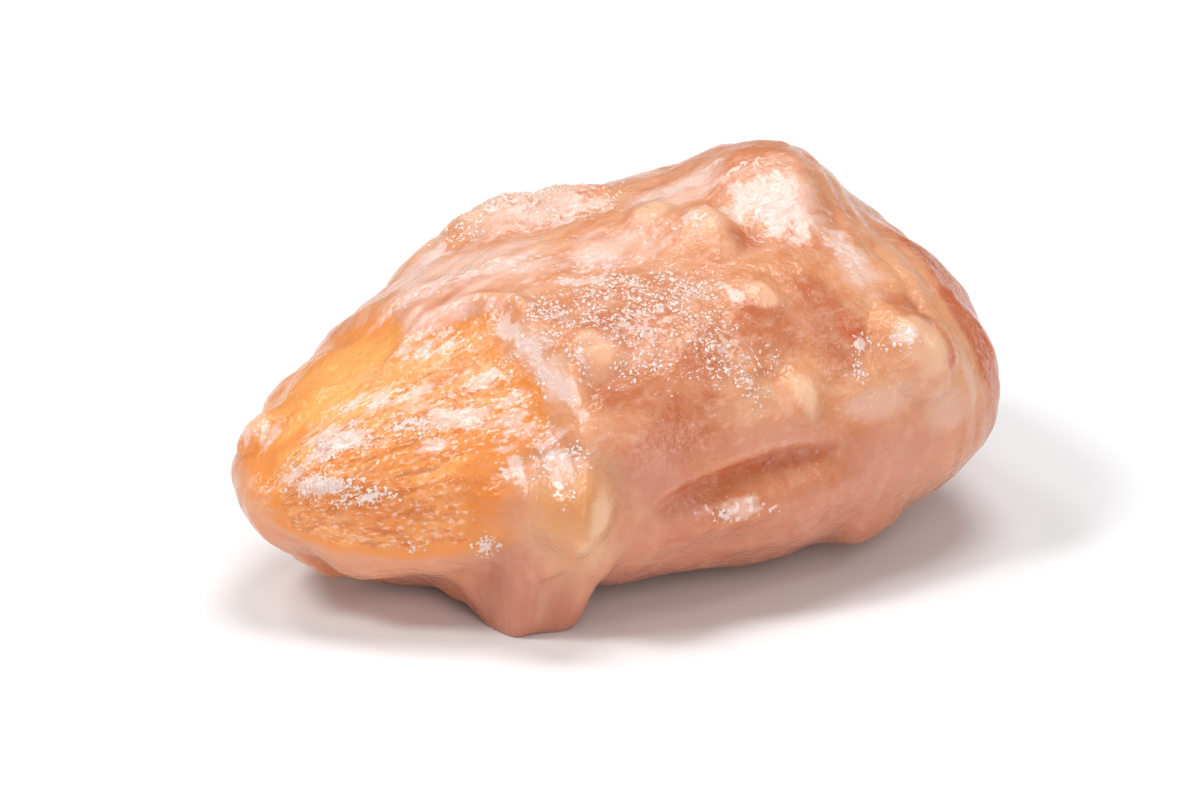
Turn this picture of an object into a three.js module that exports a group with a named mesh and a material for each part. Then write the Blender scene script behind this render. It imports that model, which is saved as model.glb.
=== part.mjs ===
// A toffee almond: one whole almond kernel under a lumpy coat of set toffee, lying on its broad side.
// The long axis runs along X with the pointed end at -X, and Z is up. The floor is the plane Z = 0.
import * as THREE from "three";
import { mergeVertices } from "three/addons/utils/BufferGeometryUtils.js";

// Kernel sizes, in millimetres
const KERNEL_LENGTH = 25.2;
const KERNEL_WIDTH = 15.7;
const KERNEL_THICKNESS = 9.6;
const TIP_POWER = 0.57; // above 0.5 the end at -X draws to a point
const ROUND_POWER = 0.31; // below 0.5 the end at +X is blunt
const KEEL_POWER = 1.12; // above 1 the two long edges are sharper than an ellipse
const SIDE_ARCH = 0.45; // how far both ends lie to the +Y side of the middle
const DROOP = 0.8; // how far both ends lie below the middle

// Toffee over the kernel, in millimetres
const FULL_COAT = 1.08;
const THIN_GLAZE = 0.62;
const COAT_END = { inside: -1.3, outside: 0.25 }; // where the coat thins, measured across a patch's border
const LIP = { rise: 0.2, place: 0.6, width: 0.7 }; // rounded rim where the full coat ends
const SWELL_RISE = 0.24;
const SWELL_LENGTH = 8;
const BARE_CALM = 0.6; // share of the swell that is gone on bare patches
const RAGGED_LENGTH = 3.4; // of the waves in the outline of a lump or patch
const RAGGEDNESS = 0.17; // how far that outline strays, as a share of its radius
const LUMP_CROWN = 0.1; // level share of a lump's radius

// Waves that the swell is summed from: how many, how unlike in length, and how far out of step
const WAVE_COUNT = 6;
const WAVE_SPREAD = 0.4;
const WAVE_STEP = 1.7;

// How the almond lies: rolled towards -Y and with its round end a little up, in degrees
const ROLL = 8;
const PITCH = -3;
const CENTRE_HEIGHT = 5.6; // of the kernel's centre over the floor

// Fineness of the faceted surface: it has 20 * (FACET_STEPS + 1)^2 triangles
const FACET_STEPS = 22;

const DEGREE = Math.PI / 180;
const GOLDEN_ANGLE = Math.PI * (3 - Math.sqrt(5));
const GOLDEN_SHARE = (Math.sqrt(5) - 1) / 2;

// Places on the kernel: along runs from -1 at the tip to 1 at the round end, around is in degrees
// from the top, positive towards -Y, so that 90 is the near edge and 180 the underside.

// Bare patches, where only thin glaze covers the skin
const BARE_PATCHES = [
  { along: -0.74, around: 40, radius: 5.2 },
  { along: -0.72, around: -28, radius: 3.2 },
  { along: 0.3, around: -125, radius: 4.4 },
];

// Lumps of sugar and pooled toffee: radius over the skin and rise above the coat
const LUMPS = [
  { along: -0.42, around: 87, radius: 2.1, rise: 1.2 }, // the large one over the drip
  { along: 0.62, around: -10, radius: 3.9, rise: 1.25 }, // smooth dome on the shoulder
  { along: 0.29, around: 4, radius: 1.9, rise: 0.5 },
  { along: -0.21, around: 32, radius: 1.3, rise: 0.55 },
  { along: 0.65, around: 58, radius: 1.5, rise: 0.65 },
  { along: 0.26, around: 61, radius: 0.9, rise: 0.28 },
  { along: -0.96, around: -62, radius: 1.2, rise: 0.8 }, // nub at the tip
  { along: 0.08, around: -38, radius: 2.0, rise: 0.6 },
  { along: -0.08, around: -46, radius: 2.0, rise: 0.65 },
  { along: -0.26, around: -50, radius: 1.8, rise: 0.4 },
  { along: -0.84, around: 134, radius: 1.8, rise: 0.75 }, // fringe under the near edge
  { along: -0.7, around: 126, radius: 1.7, rise: 0.6 },
  { along: 0.45, around: 120, radius: 1.6, rise: 0.55 },
  { along: 0.8, around: 88, radius: 3.6, rise: 0.55 },
  { along: 0.22, around: -80, radius: 2.2, rise: 0.6 },
  { along: -0.45, around: -95, radius: 1.8, rise: 0.7 },
  { along: 0.62, around: -110, radius: 1.9, rise: 0.6 },
  { along: -0.15, around: -120, radius: 1.9, rise: 0.6 },
  { along: 0.55, around: -140, radius: 1.6, rise: 0.5 },
];

// Fold in the toffee above the near edge: a groove with a rounded lip below it
const FOLD = { along: 0.07, around: 82, halfLength: 0.28, bow: 6, width: 0.85 };
const FOLD_DEPTH = 0.42;
const FOLD_LIP = { rise: 0.36, widthsBelow: 1.7 };

// Drip that ran from the near edge and set on the floor. It starts sharply at its shoulder above.
const DRIP = { along: -0.5, around: 112, radius: 2.5, stretch: 1.1, shoulder: 1.8, plateau: 0.22 };
const DRIP_FALL = 3.9;
const DRIP_SET_BACK = 0.7; // how far its foot stands in under the edge

// The kernel's half width at a place along it, as a share of the widest: a product of two tapers.
function taper(along) {
  const widest = (TIP_POWER - ROUND_POWER) / (TIP_POWER + ROUND_POWER);
  const tip = ((1 + along) / (1 + widest)) ** TIP_POWER;
  const round = ((1 - along) / (1 - widest)) ** ROUND_POWER;
  return tip * round;
}

// A point of the kernel's skin. Its section is an ellipse whose two long edges draw to a keel.
function skinPoint(along, around) {
  const girth = taper(along);
  const up = Math.cos(around);
  return new THREE.Vector3(
    0.5 * KERNEL_LENGTH * along,
    -0.5 * KERNEL_WIDTH * girth * Math.sin(around),
    0.5 * KERNEL_THICKNESS * girth * Math.sign(up) * Math.abs(up) ** KEEL_POWER,
  );
}

function skinPlace(place) {
  return skinPoint(place.along, place.around * DEGREE);
}

// The way the coat grows: square to the ellipsoid with the kernel's three sizes.
function outward(skin) {
  return new THREE.Vector3(
    skin.x / KERNEL_LENGTH ** 2,
    skin.y / KERNEL_WIDTH ** 2,
    skin.z / KERNEL_THICKNESS ** 2,
  ).normalize();
}

// Soft irregular swell between about -1 and 1: the mean of plane waves that face ways spread over a sphere.
function swell(point, length) {
  let sum = 0;
  for (let k = 0; k < WAVE_COUNT; k++) {
    const z = 1 - (2 * k + 1) / WAVE_COUNT;
    const ring = Math.sqrt(1 - z * z);
    const turn = GOLDEN_ANGLE * k;
    const travel = point.x * ring * Math.cos(turn) + point.y * ring * Math.sin(turn) + point.z * z;
    const stretch = 1 + WAVE_SPREAD * (((k * GOLDEN_SHARE) % 1) - 0.5);
    sum += Math.sin((2 * Math.PI * travel) / (length * stretch) + WAVE_STEP * k);
  }
  return (2 * sum) / WAVE_COUNT;
}

// Distance over the skin from a place, as a share of its radius, with an uneven rim.
function reach(skin, place) {
  const ragged = 1 + RAGGEDNESS * swell(skin, RAGGED_LENGTH);
  return (skin.distanceTo(skinPlace(place)) / place.radius) * ragged;
}

// 1 over a place, falling smoothly to 0 at its radius.
function dome(skin, place) {
  return 1 - THREE.MathUtils.smoothstep(reach(skin, place), LUMP_CROWN, 1);
}

// Thickness of the groove and lip of the fold, measured across it in widths.
function foldRelief(along, around) {
  const lengthwise = (along - FOLD.along) / FOLD.halfLength;
  const fade = Math.max(0, 1 - lengthwise * lengthwise);
  const across = around / DEGREE - FOLD.around - FOLD.bow * lengthwise * lengthwise;
  const widths = (across * DEGREE * 0.5 * KERNEL_WIDTH) / FOLD.width;
  const groove = -FOLD_DEPTH * Math.exp(-(widths ** 2));
  const lip = FOLD_LIP.rise * Math.exp(-((widths - FOLD_LIP.widthsBelow) ** 2));
  return fade * (groove + lip);
}

// Height of the toffee over the skin.
function coatHeight(skin, along, around) {
  const border = Math.min(...BARE_PATCHES.map((patch) => patch.radius * (reach(skin, patch) - 1)));
  const bare = 1 - THREE.MathUtils.smoothstep(border, COAT_END.inside, COAT_END.outside);
  const coat = THIN_GLAZE + (FULL_COAT - THIN_GLAZE) * (1 - bare);
  const lip = LIP.rise * Math.exp(-(((border - LIP.place) / LIP.width) ** 2));
  const waves = SWELL_RISE * swell(skin, SWELL_LENGTH) * (1 - BARE_CALM * bare);
  const lumps = LUMPS.reduce((sum, lump) => sum + lump.rise * dome(skin, lump), 0);
  return coat + lip + waves + lumps + foldRelief(along, around);
}

// 1 on the end of the drip, falling smoothly to 0 where it leaves the coat.
function dripPull(skin) {
  const away = skin.clone().sub(skinPlace(DRIP));
  away.x /= DRIP.stretch;
  away.z *= away.z > 0 ? DRIP.shoulder : 1;
  return 1 - THREE.MathUtils.smoothstep(away.length() / DRIP.radius, DRIP.plateau, 1);
}

// A point of the toffee's surface for a direction on the unit sphere, as the almond lies.
function toffeePoint(direction, lie) {
  const along = THREE.MathUtils.clamp(direction.x, -1, 1);
  const around = Math.atan2(-direction.y, direction.z);
  const skin = skinPoint(along, around);
  const point = outward(skin).multiplyScalar(coatHeight(skin, along, around)).add(skin);
  point.y += SIDE_ARCH * along ** 2;
  point.z -= DROOP * along ** 2;
  point.applyEuler(lie);
  const pull = dripPull(skin);
  point.y += DRIP_SET_BACK * pull;
  point.z += CENTRE_HEIGHT - DRIP_FALL * pull;
  point.z = Math.max(0, point.z); // the toffee set flat where it met the floor
  return point;
}

// The whole surface: an even ball of triangles carried onto the toffee, centred over the origin.
function toffeeSurface() {
  const ball = new THREE.IcosahedronGeometry(1, FACET_STEPS);
  ball.deleteAttribute("normal");
  ball.deleteAttribute("uv");
  const surface = mergeVertices(ball);
  const lie = new THREE.Euler(ROLL * DEGREE, PITCH * DEGREE, 0, "ZYX");
  const places = surface.getAttribute("position");
  for (let i = 0; i < places.count; i++) {
    const direction = new THREE.Vector3().fromBufferAttribute(places, i).normalize();
    places.setXYZ(i, ...toffeePoint(direction, lie));
  }
  surface.computeBoundingBox();
  const middle = surface.boundingBox.getCenter(new THREE.Vector3());
  surface.translate(-middle.x, -middle.y, 0);
  surface.computeVertexNormals();
  return surface;
}

const toffee = new THREE.MeshStandardMaterial({ color: "#d08a63", roughness: 0.3, metalness: 0 });

const almond = new THREE.Mesh(toffeeSurface(), toffee);
almond.name = "toffee_almond";

const part = new THREE.Group();
part.add(almond);

export default part;
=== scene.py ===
import math

import bpy
import numpy as np
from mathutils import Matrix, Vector


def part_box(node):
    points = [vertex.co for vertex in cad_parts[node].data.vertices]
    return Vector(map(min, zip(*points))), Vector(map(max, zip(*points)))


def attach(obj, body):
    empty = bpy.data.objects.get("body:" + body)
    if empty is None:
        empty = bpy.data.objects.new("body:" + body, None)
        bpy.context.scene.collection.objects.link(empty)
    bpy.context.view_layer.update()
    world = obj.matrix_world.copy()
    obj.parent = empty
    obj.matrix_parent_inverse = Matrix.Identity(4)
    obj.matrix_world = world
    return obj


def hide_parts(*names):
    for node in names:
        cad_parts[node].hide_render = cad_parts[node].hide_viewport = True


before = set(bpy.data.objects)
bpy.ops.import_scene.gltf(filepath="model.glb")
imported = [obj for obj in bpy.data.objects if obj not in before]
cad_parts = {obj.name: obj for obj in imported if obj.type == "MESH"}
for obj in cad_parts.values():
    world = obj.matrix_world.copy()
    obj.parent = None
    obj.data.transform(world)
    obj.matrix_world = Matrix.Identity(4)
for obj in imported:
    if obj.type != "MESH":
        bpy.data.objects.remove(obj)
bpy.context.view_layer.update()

# One toffee almond: a whole kernel under set toffee, lying on its broad side. Lengths are in millimetres
# here and turn to metres where a mesh is made. The form follows the solid's, with rounder lumps and finer
# relief.
MM = 0.001
NODE = "toffee_almond"

# Kernel
KERNEL = np.array([25.2, 15.7, 9.6])  # length, width, thickness
TIP_POWER = 0.57  # above 0.5 the end at -X draws to a point
ROUND_POWER = 0.31  # below 0.5 the end at +X is blunt
KEEL_POWER = 1.02  # above 1 the two long edges are sharper than an ellipse
TIP_KEEL = 0.72  # below 1 they are blunter, as at the tip
TIP_START, TIP_FULL = 0.5, 0.9  # where towards the tip the blunter edge starts and where it is complete
ARCH = np.array([0, 0.45, -0.8])  # how far both ends lie to the side of the middle and below it

# Toffee over the kernel
FULL_COAT = 1.08
THIN_GLAZE = 0.62
COAT_END = (-1.3, 0.25)  # where the coat thins, measured across a bare patch's border
LIP_RISE, LIP_PLACE, LIP_WIDTH = 0.2, 0.6, 0.7  # rounded rim where the full coat ends
LIP_BEHIND, LIP_FADE = 0.15, (-12, 8)  # share of the rim that shows behind the top, and the fade in degrees
LIP_TIP = (-0.99, -0.8)  # where along the kernel the rim starts and where it is full
SWELL_RISE, SWELL_LENGTH = 0.24, 8.0
BARE_CALM = 0.6  # share of the swell that is gone on bare patches
RAGGED_LENGTH, RAGGEDNESS = 3.4, 0.17  # waves in the outline of a lump or patch
LUMP_CROWN = 0.1  # level share of a lump's radius
PATCH_CORE, PATCH_RIM = 0.1, 1.4  # where a patch starts to fade and where it ends, in half sizes
KNOB_REACH, KNOB_POWER = 0.9, 0.64  # how far a sugar lump's ball reaches and how steep its sides are
KNOB_BALL = 0.55  # share of the ball in a lump's form, the rest is a dome

# Waves that the swell is summed from: how many, how unlike in length, and how far out of step
WAVE_COUNT, WAVE_SPREAD, WAVE_STEP = 6, 0.4, 1.7
GOLDEN_ANGLE = math.pi * (3 - math.sqrt(5))
GOLDEN_SHARE = (math.sqrt(5) - 1) / 2

# Noise: large odd numbers that mix a cell's three counts and a seed, and shifts and factors that mix further
CELL_MIX = np.array([73856093, 19349663, 83492791])
SEED_MIX = 97531
BIT_MIXES = [(13, 1274126177), (15, 668265263)]
LAST_SHIFT, LOW_BITS, HALF_RANGE = 16, 0xFFFFFFFF, 0x7FFFFFFF

# Seeds, one for each use of the noise and one for the scatter
WANDER_SEED, BREAK_SEED, RIPPLE_SEED, DROPLET_SEED = 1, 3, 10, 20
FROST_SEED, LUMP_SEED, CLUMP_SEED, BORDER_SEED = 30, 40, 50, 60
SCATTER_SEED = 5

# How the almond lies, in degrees, and the height of the kernel's centre over the floor
ROLL, PITCH = 8, -3
CENTRE_HEIGHT = 5.6

# Places on the kernel are (along, around, radius, and for lumps the rise). Along runs from -1 at the tip to
# 1 at the round end. Around is in degrees from the top: 90 is the near edge at -Y and 180 the underside.
BARE_PATCHES = [(-0.74, 40, 5.2), (-0.72, -28, 3.2), (0.3, -145, 4.2)]
NUGGET_PLACE = (-0.42, 80)  # the large lump over the drip
NUGGET_RADIUS, NUGGET_STAND = 1.7, 1.05  # of the large lump, a ball, and how far it stands out of the coat
NUGGET_BLEND = 0.9  # how softly it meets the coat
NUGGET_FADE = (0.5, 1.3)  # where it starts to fade into the coat and where it ends, in radii
NUGGET_FRONT = (-1, -0.5)  # where it starts to count and where it counts in full, in radii past its middle
NUGGET_AMBER = 2.5  # radius of its amber colour, which fades into the coat
NUGGET_SURROUND = 3.8  # radius of the toffee round the large lump
SUGAR_LUMPS = [
    (0.27, 4, 1.6, 0.6),
    (0.2, -8, 1.1, 0.35),
    (0.27, 31, 1.1, 0.2),
    (0.62, 57, 1.6, 0.75),
    (-0.23, 33, 1.2, 0.32),
    (-0.91, -48, 0.8, 0.5),  # nub at the tip
    (0.25, 60, 1.0, 0.35),
    (0.08, -38, 2.0, 0.6),
    (-0.08, -46, 2.0, 0.65),
    (-0.26, -50, 1.8, 0.4),
    (-0.45, -95, 1.8, 0.7),
    (0.62, -110, 1.9, 0.6),
    (-0.15, -120, 1.9, 0.6),
    (0.55, -140, 1.6, 0.5),
]
TOFFEE_LUMPS = [
    (0.62, -10, 3.9, 1.25),  # smooth dome on the shoulder
    (-0.96, 66, 3.0, 0.4),
    (-0.54, 80, 1.5, 0.45),
    (-0.84, 132, 1.7, 0.5),
    (0.45, 120, 1.6, 0.55),
    (0.8, 88, 3.6, 0.55),
    (0.22, -80, 2.2, 0.25),
]

# Patches are ellipses on the skin: (along, around, half length, half width, tilt). The half length runs
# along the kernel before the tilt, in degrees, turns it towards the near edge.
FROSTED = [  # grains of sugar set in the coat
    (-0.08, 29, 3.4, 2.2, 0),
    (-0.05, 13, 2.4, 1.2, 10),
    (-0.265, 17, 1.0, 1.5, 0),
    (0.1, 42, 1.4, 1.8, 0),
    (0.1, 22, 1.5, 1.1, 0),
    (-0.04, -38, 2.6, 1.1, 10),
    (0.12, -28, 1.4, 0.9, 0),
    (0.1, -95, 3.4, 3.0, 0),
    (-0.5, -130, 3.2, 2.6, 0),
    (0.7, -120, 2.4, 2.4, 0),
    (0.96, -60, 0.6, 1.4, 0),
]
SPARKLING = [  # small beads of glaze, with painted glints on them
    (-0.43, 60, 0.9, 0.55, 10),
    (-0.455, 68, 0.5, 0.45, 0),
    (-0.85, 22, 1.4, 0.7, 10),
    (-0.7, 30, 1.4, 0.6, 20),
    (-0.9, 52, 0.9, 0.4, 30),
    (-0.86, 66, 1.0, 0.25, 0),
    (-0.62, 96, 0.5, 0.35, 0),
    (-0.76, 94, 0.3, 0.18, 0),
    (0.48, 51, 0.5, 0.35, 0),
    (0.58, 54, 0.7, 0.45, 0),
    (0.45, 59, 0.35, 0.4, 0),
    (0.11, 53, 0.4, 0.35, 0),
    (0.25, 3, 0.9, 0.6, 0),
    (-0.28, 32, 0.35, 0.4, 0),
    (-0.04, 91, 0.4, 0.2, 0),
    (-0.05, -40, 2.0, 0.6, 10),
]
PALE_GLAZE_AND_HIGHLIGHT = [  # glaze that has clouded, and painted highlights on the wet glaze
    (0.46, 6, 1.3, 1.8, 0),
    (0.44, -7, 1.8, 0.4, 10),
    (-0.365, 8, 0.5, 1.3, 0),
    (-0.72, 8, 2.8, 0.9, 28),
    (-0.58, 34, 2.6, 1.2, 36),
    (-0.84, 22, 1.6, 0.9, 10),
    (-0.92, 48, 0.9, 0.5, 30),
    (-0.54, 61, 0.6, 0.9, 0),
    (-0.27, -15, 5.0, 1.0, 26),
    (-0.45, -22, 2.8, 0.8, 24),
    (-0.1, 5, 2.6, 0.6, 22),
    (0.03, -25, 4.0, 1.2, 16),
    (-0.3, -40, 1.4, 0.9, 0),
    (-0.37, 19, 0.5, 1.2, 0),
    (0.6, 22, 1.2, 1.8, 0),
    (-0.91, -48, 0.7, 0.6, 0),
    (-0.92, -38, 0.8, 0.7, 0),
    (-0.87, 10, 1.0, 0.8, 10),
    (-0.95, 28, 0.6, 0.5, 30),
    (-0.5, 45, 2.2, 1.6, 24),
    (-0.52, 0, 2.4, 1.4, 22),
    (-0.02, 0, 2.6, 1.0, 18),
    (-0.5, 22, 1.6, 1.0, 24),
    (-0.46, 36, 1.4, 1.0, 24),
    (-0.66, 44, 1.4, 0.7, 24),
    (0.0, 90, 2.4, 0.45, 4),
]
PAINTED_GLOW = [  # painted glow in the lumps
    (0.25, 60, 0.5, 0.8, 0),
    (-0.37, 82, 0.5, 1.2, 20),
    (-0.39, 92, 0.7, 0.5, 0),
    (0.66, 60, 0.6, 0.6, 0),
]
PAINTED_GLINTS = [  # painted highlights and glints on smooth glaze
    (0.21, 27, 0.4, 0.7, -10),
    (-0.285, 36, 0.3, 0.45, 0),
    (-0.352, 38, 0.4, 2.4, -8),
    (-0.37, 14, 0.36, 1.5, -4),
    (0.43, 1, 1.7, 0.8, -24),
    (0.35, -14, 2.0, 0.5, 6),
    (-0.435, 62, 0.7, 0.5, 0),
    (-0.52, 60, 0.3, 0.7, 0),
    (0.585, 53, 0.6, 0.35, 0),
    (0.48, 51, 0.4, 0.25, 0),
    (0.25, 1, 0.5, 0.3, 30),
    (-0.3, -40, 0.9, 0.4, 0),
    (-0.04, -36, 0.9, 0.4, 0),
    (0.1, -27, 0.6, 0.3, 0),
    (-0.83, 20, 0.7, 0.4, 20),
    (-0.9, 50, 0.6, 0.25, 30),
    (0.49, 8, 1.3, 2.0, 0),
]
MILKY_AND_HIGHLIGHT = [  # grained, milky toffee, and painted highlights on the dome, the lip and the upper strip
    (0.3, -15, 3.0, 1.8, 10),
    (0.05, -5, 3.4, 2.0, 16),
    (-0.35, -40, 2.0, 1.6, 20),
    (-0.5, -8, 4.0, 1.5, 24),
    (-0.3, -18, 5.6, 3.2, 24),
    (-0.6, 24, 3.0, 1.6, 30),
    (0.54, 4, 1.7, 2.6, 0),
    (0.6, 28, 1.6, 2.2, 0),
    (-0.36, 30, 0.9, 2.8, 0),
    (0.0, -34, 3.8, 1.6, 12),
    (-0.5, -110, 5.0, 4.0, 0),
    (0.5, 170, 5.0, 4.0, 0),
    (0.93, 120, 0.9, 1.8, 0),
    (0.95, -15, 0.8, 1.6, 0),
    (0.9, -110, 1.2, 2.4, 0),
]
POOLED = [  # thicker and darker toffee
    (0.22, 40, 4.0, 2.2, 0),
    (0.35, 12, 1.0, 1.0, 0),
    (-0.1, 55, 3.0, 2.2, 0),
    (0.42, 40, 1.8, 1.8, 0),
    (0.42, 48, 2.0, 1.8, 0),
    (0.0, 46, 2.2, 1.4, 0),
    (0.66, 46, 1.0, 1.4, 0),
    (-0.08, 26, 3.0, 1.4, 0),
    (-0.22, 48, 1.6, 0.9, 0),
    (-0.15, 66, 2.4, 0.9, 0),
    (0.0, -140, 5.0, 4.0, 0),
]
DEEP_TOFFEE = [  # deep orange toffee round the blunt end
    (0.86, 56, 0.9, 3.4, 0),
    (0.88, 25, 0.9, 1.8, 0),
    (0.49, 46, 0.7, 0.8, 0),
    (0.7, 62, 0.4, 0.7, 0),
]
BLUSH = [  # pale pink toffee below the lumps
    (0.48, 69, 2.2, 0.7, 0),
    (0.68, 78, 1.4, 0.9, 0),
    (0.76, 72, 0.35, 1.2, 10),
]
DRIP_FACE = [  # the side of the drip that shows
    (-0.5, 114, 2.6, 2.2, 0),
]
PEACHY = [  # the coat's rim under the bare tip
    (-0.84, 108, 3.6, 1.6, 0),
    (-0.96, 100, 1.8, 1.6, 0),
]
LIT_SKIN = [  # painted light: bare skin under clear glaze, brighter where the upper left catches light
    (-0.7, -26, 3.0, 1.6, 20),
    (-0.8, -10, 2.0, 1.2, 20),
]
DEEP_SKIN = [  # bare skin of a deeper brown
    (-0.62, 76, 3.2, 1.4, 4),
    (-0.84, 66, 2.0, 1.2, 10),
]
ROSY = [  # rosy toffee round the fold
    (0.12, 70, 5.0, 1.1, 6),
    (0.52, 80, 3.4, 2.0, 0),
    (-0.2, 76, 2.0, 1.6, 0),
]

# Fold in the toffee above the near edge, and the drip that set below it
FOLD_ALONG, FOLD_AROUND, FOLD_HALF_LENGTH = 0.06, 78, 0.32  # its middle and half length
FOLD_TILT, FOLD_BOW = 3, 6  # how far its ends turn and bow, in degrees round the kernel
FOLD_WIDTH, FOLD_DEPTH = 0.9, 0.6
FOLD_SHARPNESS = 0.5  # width of the groove's upper side as a share of the lower
FOLD_LIP_RISE, FOLD_LIP_PLACE, FOLD_LIP_WIDTH = 0.45, 1.9, 1.2  # place and width in widths of the groove
DRIP_ALONG, DRIP_AROUND, DRIP_RADIUS = -0.45, 121, 2.4
DRIP_TIPWARDS, DRIP_ENDWARDS = 1.55, 0.75  # stretch to the tip's side and to the other
DRIP_SHOULDER, DRIP_PLATEAU = 2.4, 0.24  # squeeze above its root, level share
DRIP_FALL, DRIP_SET_BACK = 2.7, 0.2
FOOT_ROUNDING = 0.7  # how softly the toffee meets the floor
FOOT_SINK = 0.25  # share of the rounding that it settles by

# Bead of toffee along the near edge of the bare tip
EDGE_BEAD_RISE, EDGE_BEAD_AROUND, EDGE_BEAD_WIDTH = 0.15, 108, 20
EDGE_BEAD_START, EDGE_BEAD_END = (-0.98, -0.9), (-0.65, -0.5)  # where along the kernel it grows and fades

# Flats where the toffee sagged smooth: place and radius, and the way that the flat faces
FLATS = [
    ((0.46, 6, 2.5), (-0.17, -0.44, 0.88)),
    ((-0.36, 10, 1.1), (-0.62, -0.36, 0.7)),
    ((-0.365, 25, 1.1), (-0.62, -0.36, 0.7)),
    ((-0.35, 39, 1.1), (-0.62, -0.4, 0.68)),
    ((-0.335, 51, 1.0), (-0.6, -0.46, 0.65)),
]
FLATNESS, FLAT_CORE = 0.7, 0.4  # how flat they are, and the level share of the radius

# Fine relief: rise and size
SKIN_GROOVES, GROOVE_DEPTH = 44, 0.02  # grooves round the girth, running to the tip
GROOVE_WANDERS = [(4.0, 3.1), (1.2, 1.2)]  # how far they stray, in radians of their wave, over what length
GROOVE_BREAKS = 2.0  # length over which they come and go
GROOVE_TIP = (-0.94, -0.78)  # where along the kernel they start and where they are full
GROOVE_FADE = (-25, 15)  # degrees where the grooves start behind the top and where they are full
GROOVE_SHOW = 0.15  # share of the groove that still shows through the full coat
END_RIDGE_RISE, END_RIDGE_LENGTH, END_RIDGE_WANDER = 0.04, 1.0, 2  # flow ridges across the round end
END_RIDGE_FADE = (0.5, 0.8)  # where along the kernel they start and where they are full
RIPPLES = [(0.1, 2.4), (0.07, 0.95), (0.045, 0.42)]
POOL_CALM = 0.7  # share of the ripples that is gone where the toffee pooled
DROPLETS = (0.14, 0.42)  # beads of glaze where the coat sparkles
FROST_GRAIN = (0.07, 0.3)
DROPLET_EDGE, FROST_EDGE = (0.0, 0.6), (0.1, 0.6)  # values of the noise between which they rise
LUMP_GRAIN = (0.08, 0.7)
LIP_BEAD = (0.3, 0.45, 0.55)  # rise, place and width of the bead along the coat's rim

# Borders of colour: bands round the kernel in degrees, as start, full, fading and end, and places along it
# the first band is painted shade: the pinkish mauve of the lower side where it lies in shade
SHADED_NEAR_EDGE = (66, 110, 150, 175)
RIM_BAND = (88, 110, 165, 175)
# dark line under the near edge: partly thick toffee, partly painted shade where it meets the floor
LOW_EDGE_TOFFEE_AND_SHADE = (102, 118, 140, 170)
BORDER_STRAY, BORDER_SIZE = 8, 1.6  # degrees that the bands stray, and over what length
RIM_TIP, RIM_TIP_SHARE = (0.97, 0.99), 0.25  # where towards the tip toffee closes over it, and how much
ROUND_END, END_EDGE = (0.3, 0.7), (0.72, 0.95)
DRIP_EDGE = (0.1, 0.5)  # shares of the drip's pull between which its colour starts
FLOW_POWER = 0.6  # how far streaks draw together towards the tip
LEAST_GIRTH = 0.05  # share of the middle's girth below which they draw no closer

SURFACE_STEPS = 128  # squares along each edge of the six grids that cover the surface
SHIFT_STEPS = 48  # the same where only the size of the form is wanted
SHEET_COLUMNS, SHEET_ROWS, SHEET_MARGIN = 3, 2, 0.01  # of the flat sheet that the six grids lie on

# The patches that a mask of the coat starts from
PATCH_MASKS = {
    "deep_toffee": DEEP_TOFFEE,
    "blush": BLUSH,
    "frost": FROSTED,
    "sparkle": SPARKLING,
    "glaze": PALE_GLAZE_AND_HIGHLIGHT,
    "painted_glints": PAINTED_GLINTS,
    "painted_glow": PAINTED_GLOW,
    "milky_and_highlight": MILKY_AND_HIGHLIGHT,
    "pooled": POOLED,
    "peachy": PEACHY,
    "lit_skin": LIT_SKIN,
    "deep_skin": DEEP_SKIN,
    "rosy": ROSY,
    "drip": DRIP_FACE,
}


# Form of the almond


def smoothstep(x, low, high):
    """0 below low and 1 above high, with the cubic 3t^2 - 2t^3 between."""
    t = np.clip((x - low) / (high - low), 0, 1)
    return t * t * (3 - 2 * t)


def band(x, start, full, fading, end):
    """1 from full to fading, and 0 before start and after end, with smooth steps between."""
    return smoothstep(x, start, full) * (1 - smoothstep(x, fading, end))


def taper(along):
    """Half width along the kernel as a share of the widest: a power of the way from the tip times a power of
    the way from the round end."""
    widest = (TIP_POWER - ROUND_POWER) / (TIP_POWER + ROUND_POWER)
    tip = ((1 + along) / (1 + widest)) ** TIP_POWER
    return tip * ((1 - along) / (1 - widest)) ** ROUND_POWER


def skin_point(along, around):
    """Point of the skin: an ellipse round the axis at each place along it, with a power on its height that
    makes keels of the long edges."""
    girth = taper(along)
    up = np.cos(around)
    power = KEEL_POWER + (TIP_KEEL - KEEL_POWER) * smoothstep(-along, TIP_START, TIP_FULL)
    up = np.sign(up) * np.abs(up) ** power
    return 0.5 * KERNEL * np.stack([along, -girth * np.sin(around), girth * up], axis=-1)


def skin_place(place):
    """Point of the skin at a place of the lists above."""
    return skin_point(np.float64(place[0]), np.radians(place[1]))


def swell(points, length):
    """Soft swell of about -1 to 1: the mean of plane waves that face ways spread over a sphere by the golden
    angle."""
    k = np.arange(WAVE_COUNT)
    height = 1 - (2 * k + 1) / WAVE_COUNT
    ring = np.sqrt(1 - height ** 2)
    ways = np.stack([ring * np.cos(GOLDEN_ANGLE * k), ring * np.sin(GOLDEN_ANGLE * k), height])
    lengths = length * (1 + WAVE_SPREAD * ((k * GOLDEN_SHARE) % 1 - 0.5))
    return 2 * np.mean(np.sin(2 * np.pi * (points @ ways) / lengths + WAVE_STEP * k), axis=-1)


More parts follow.
